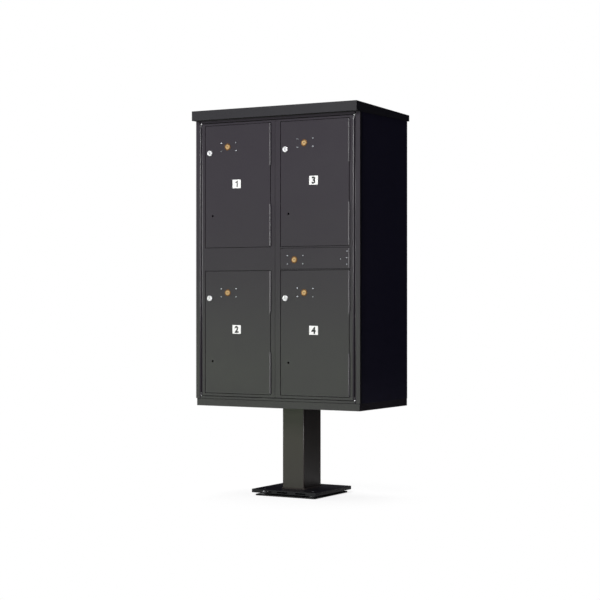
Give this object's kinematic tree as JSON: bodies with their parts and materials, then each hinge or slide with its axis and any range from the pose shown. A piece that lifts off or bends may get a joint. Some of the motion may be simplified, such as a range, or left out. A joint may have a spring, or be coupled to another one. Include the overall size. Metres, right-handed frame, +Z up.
{
  "type": "pedestal cluster mailbox unit",
  "caption": "Free-standing cluster mailbox with lockable parcel doors in two swinging door frames, a hood and a pedestal post on an anchored base.",
  "frame": {"origin": "centre of the anchor hole pattern on the underside of the floor pad", "axes": "+Z up, doors face -Y, +X to the right when facing the doors"},
  "size_m": [0.77, 0.465, 1.5805],
  "materials": {
    "black_paint": "satin powder coat",
    "pedestal_paint": "satin powder coat",
    "zinc_steel": "zinc plated",
    "lock_case_steel": "blackened",
    "lock_chrome": "polished",
    "lock_brass": "satin",
    "screw_steel": "plain"
  },
  "bodies": {
    "cabinet": {"hood": "black_paint", "side_panel_left": "black_paint", "side_panel_right": "black_paint", "back_panel": "black_paint", "floor_pan": "black_paint", "ceiling_panel": "black_paint", "front_frame": "black_paint", "base_skirt": "black_paint", "centre_partition": "black_paint", "compartment_shelves": "black_paint", "leaf_pivot_pins": "zinc_steel", "pedestal_top_plate": "pedestal_paint", "pedestal_post": "pedestal_paint", "pedestal_base_pan": "pedestal_paint", "anchor_pad": "pedestal_paint", "leveling_spacers": "zinc_steel", "pedestal_bolts": "zinc_steel"},
    "left_leaf": {"left_leaf_frame": "black_paint", "left_leaf_fittings": "black_paint"},
    "right_leaf": {"right_leaf_frame": "black_paint", "right_leaf_fittings": "black_paint"},
    "latch": {"latch_bar": "zinc_steel"},
    "door_1": {"door_1_panel": "black_paint", "door_1_hinge": "black_paint", "door_1_lock_case": "lock_case_steel", "door_1_fasteners": "screw_steel", "door_1_cam_body": "lock_chrome"},
    "door_1_cam": {"door_1_cam_plug": "lock_chrome"},
    "door_1_plug": {"door_1_control_plug": "lock_brass"},
    "door_1_slide": {"door_1_control_slide": "zinc_steel"},
    "door_2": {"door_2_panel": "black_paint", "door_2_hinge": "black_paint", "door_2_lock_case": "lock_case_steel", "door_2_fasteners": "screw_steel", "door_2_cam_body": "lock_chrome"},
    "door_2_cam": {"door_2_cam_plug": "lock_chrome"},
    "door_2_plug": {"door_2_control_plug": "lock_brass"},
    "door_2_slide": {"door_2_control_slide": "zinc_steel"},
    "door_3": {"door_3_panel": "black_paint", "door_3_hinge": "black_paint", "door_3_lock_case": "lock_case_steel", "door_3_fasteners": "screw_steel", "door_3_cam_body": "lock_chrome"},
    "door_3_cam": {"door_3_cam_plug": "lock_chrome"},
    "door_3_plug": {"door_3_control_plug": "lock_brass"},
    "door_3_slide": {"door_3_control_slide": "zinc_steel"},
    "door_4": {"door_4_panel": "black_paint", "door_4_hinge": "black_paint", "door_4_lock_case": "lock_case_steel", "door_4_fasteners": "screw_steel", "door_4_cam_body": "lock_chrome"},
    "door_4_cam": {"door_4_cam_plug": "lock_chrome"},
    "door_4_plug": {"door_4_control_plug": "lock_brass"},
    "door_4_slide": {"door_4_control_slide": "zinc_steel"},
    "access_door": {"access_door_panel": "black_paint", "access_door_hinge": "black_paint", "access_lock_case": "lock_case_steel", "access_fasteners": "screw_steel"},
    "access_plug": {"access_control_plug": "lock_brass"},
    "access_slide": {"access_bolt": "zinc_steel"}
  },
  "joints": [
    {"name": "left_leaf_swing", "type": "hinge", "parent": "cabinet", "child": "left_leaf", "pos_m": [-0.359, -0.2085, 0.968], "axis": [0, 0, -1], "range_deg": [0, 105]},
    {"name": "right_leaf_swing", "type": "hinge", "parent": "cabinet", "child": "right_leaf", "pos_m": [0.359, -0.2085, 0.968], "axis": [0, 0, 1], "range_deg": [0, 105]},
    {"name": "latch_bar_lift", "type": "slide", "parent": "right_leaf", "child": "latch", "axis": [0, 0, 1], "range_m": [0, 0.012]},
    {"name": "door_1_swing", "type": "hinge", "parent": "left_leaf", "child": "door_1", "pos_m": [-0.0245, -0.2115, 1.2675], "axis": [0, 0, 1], "range_deg": [0, 110]},
    {"name": "door_1_cam_turn", "type": "hinge", "parent": "door_1", "child": "door_1_cam", "pos_m": [-0.316, -0.2115, 1.4065], "axis": [0, 1, 0], "range_deg": [0, 90]},
    {"name": "door_1_plug_turn", "type": "hinge", "parent": "door_1", "child": "door_1_plug", "pos_m": [-0.229, -0.2115, 1.429], "axis": [0, 1, 0], "range_deg": [0, 90]},
    {"name": "door_1_slide_travel", "type": "slide", "parent": "door_1", "child": "door_1_slide", "axis": [-1, 0, 0], "range_m": [0, 0.00701]},
    {"name": "door_2_swing", "type": "hinge", "parent": "left_leaf", "child": "door_2", "pos_m": [-0.0245, -0.2115, 0.67], "axis": [0, 0, 1], "range_deg": [0, 110]},
    {"name": "door_2_cam_turn", "type": "hinge", "parent": "door_2", "child": "door_2_cam", "pos_m": [-0.316, -0.2115, 0.809], "axis": [0, 1, 0], "range_deg": [0, 90]},
    {"name": "door_2_plug_turn", "type": "hinge", "parent": "door_2", "child": "door_2_plug", "pos_m": [-0.229, -0.2115, 0.8315], "axis": [0, 1, 0], "range_deg": [0, 90]},
    {"name": "door_2_slide_travel", "type": "slide", "parent": "door_2", "child": "door_2_slide", "axis": [-1, 0, 0], "range_m": [0, 0.00701]},
    {"name": "door_3_swing", "type": "hinge", "parent": "right_leaf", "child": "door_3", "pos_m": [0.3365, -0.2115, 1.2675], "axis": [0, 0, 1], "range_deg": [0, 110]},
    {"name": "door_3_cam_turn", "type": "hinge", "parent": "door_3", "child": "door_3_cam", "pos_m": [0.045, -0.2115, 1.4065], "axis": [0, 1, 0], "range_deg": [0, 90]},
    {"name": "door_3_plug_turn", "type": "hinge", "parent": "door_3", "child": "door_3_plug", "pos_m": [0.132, -0.2115, 1.429], "axis": [0, 1, 0], "range_deg": [0, 90]},
    {"name": "door_3_slide_travel", "type": "slide", "parent": "door_3", "child": "door_3_slide", "axis": [-1, 0, 0], "range_m": [0, 0.00701]},
    {"name": "door_4_swing", "type": "hinge", "parent": "right_leaf", "child": "door_4", "pos_m": [0.3365, -0.2115, 0.67], "axis": [0, 0, 1], "range_deg": [0, 110]},
    {"name": "door_4_cam_turn", "type": "hinge", "parent": "door_4", "child": "door_4_cam", "pos_m": [0.045, -0.2115, 0.809], "axis": [0, 1, 0], "range_deg": [0, 90]},
    {"name": "door_4_plug_turn", "type": "hinge", "parent": "door_4", "child": "door_4_plug", "pos_m": [0.132, -0.2115, 0.8315], "axis": [0, 1, 0], "range_deg": [0, 90]},
    {"name": "door_4_slide_travel", "type": "slide", "parent": "door_4", "child": "door_4_slide", "axis": [-1, 0, 0], "range_m": [0, 0.00701]},
    {"name": "access_door_swing", "type": "hinge", "parent": "right_leaf", "child": "access_door", "pos_m": [0.3365, -0.2115, 0.96775], "axis": [0, 0, 1], "range_deg": [0, 110]},
    {"name": "access_plug_turn", "type": "hinge", "parent": "access_door", "child": "access_plug", "pos_m": [0.0865, -0.2115, 0.963], "axis": [0, 1, 0], "range_deg": [0, 90]},
    {"name": "access_slide_travel", "type": "slide", "parent": "access_door", "child": "access_slide", "axis": [-1, 0, 0], "range_m": [0, 0.00701]}
  ],
  "couplings": [
    {"joint": "door_1_slide_travel", "follows": "door_1_plug_turn", "m_per_rad": 0.0044563},
    {"joint": "door_2_slide_travel", "follows": "door_2_plug_turn", "m_per_rad": 0.0044563},
    {"joint": "door_3_slide_travel", "follows": "door_3_plug_turn", "m_per_rad": 0.0044563},
    {"joint": "door_4_slide_travel", "follows": "door_4_plug_turn", "m_per_rad": 0.0044563},
    {"joint": "access_slide_travel", "follows": "access_plug_turn", "m_per_rad": 0.0044563}
  ]
}
